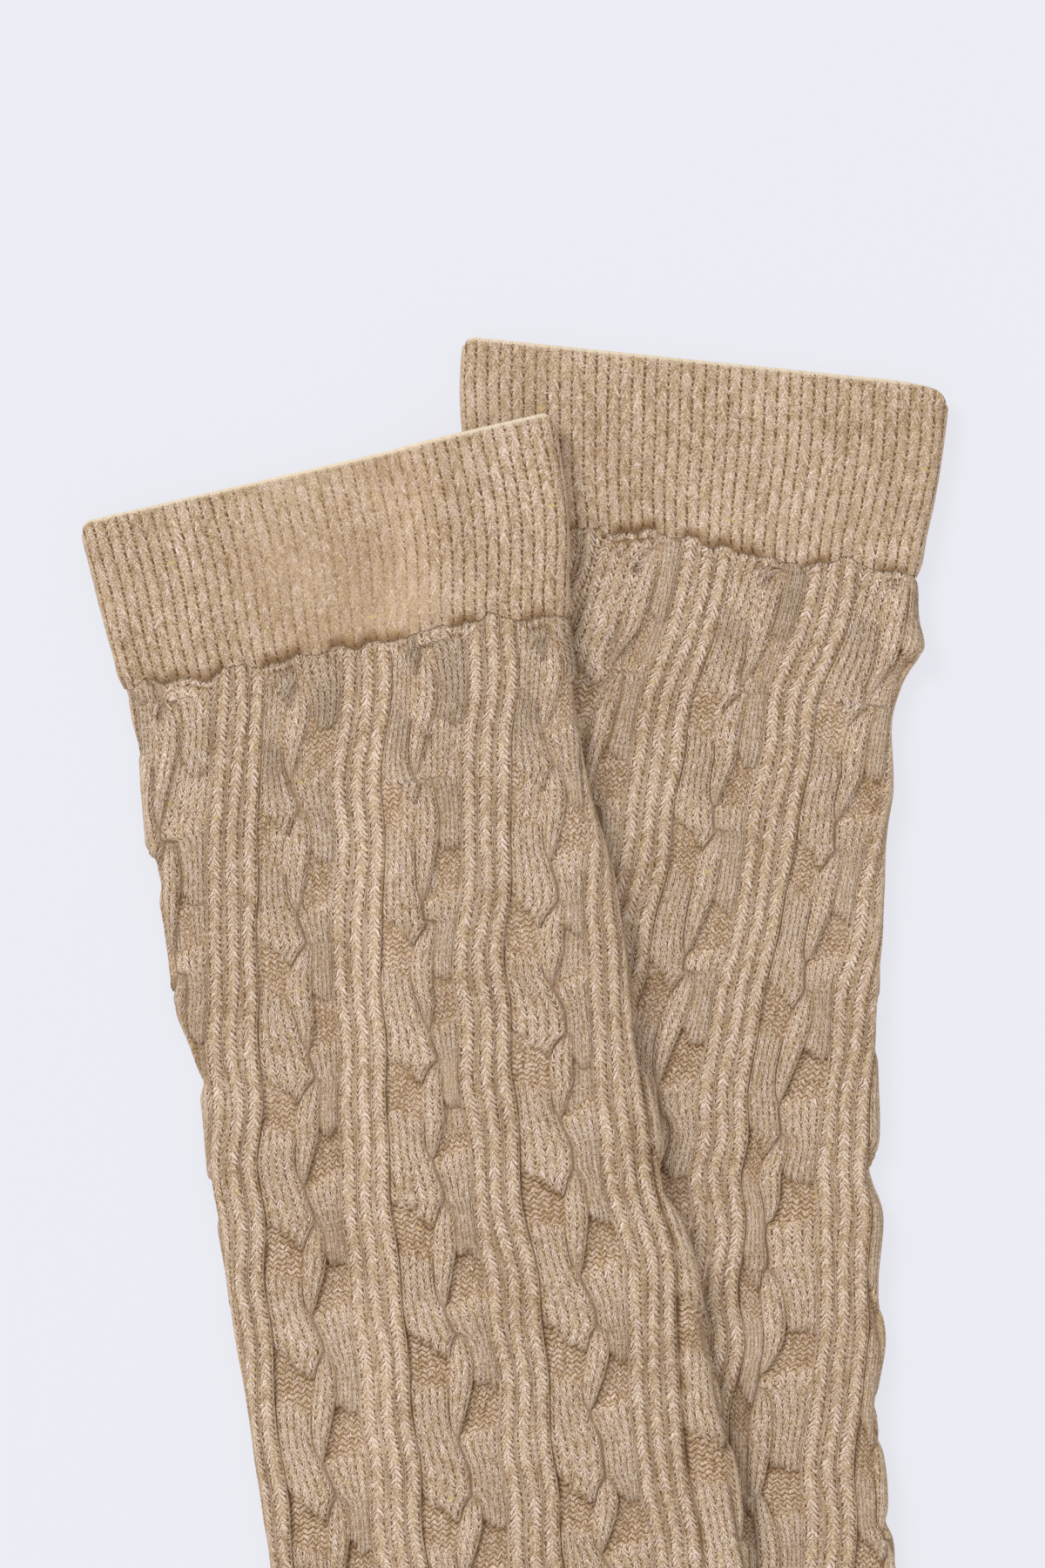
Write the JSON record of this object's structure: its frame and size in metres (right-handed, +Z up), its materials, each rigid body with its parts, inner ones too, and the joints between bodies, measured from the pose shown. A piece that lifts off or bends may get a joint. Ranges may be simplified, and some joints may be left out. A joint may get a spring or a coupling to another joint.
{
  "type": "pair of socks",
  "caption": "Pair of long cable-knit socks with ribbed cuffs, laid flat with one partly over the other and their toes to one side.",
  "frame": {"origin": "under the middle of the pair's box, on the surface the socks lie on", "axes": "+X towards the toes, +Y towards the cuffs, +Z up from the surface"},
  "size_m": [0.2964, 0.352, 0.0104],
  "materials": {
    "cuff_knit": "heather beige doubled knit, ribbed one by one, matt",
    "cable_knit": "heather beige knit in narrow ribs and crossing cables, matt",
    "plain_knit": "heather beige plain knit, matt"
  },
  "bodies": {
    "root": {"lower_cuff": "cuff_knit", "lower_leg": "cable_knit", "lower_heel": "plain_knit", "lower_foot": "cable_knit", "lower_toe": "plain_knit", "upper_cuff": "cuff_knit", "upper_leg": "cable_knit", "upper_heel": "plain_knit", "upper_foot": "cable_knit", "upper_toe": "plain_knit"}
  },
  "joints": []
}
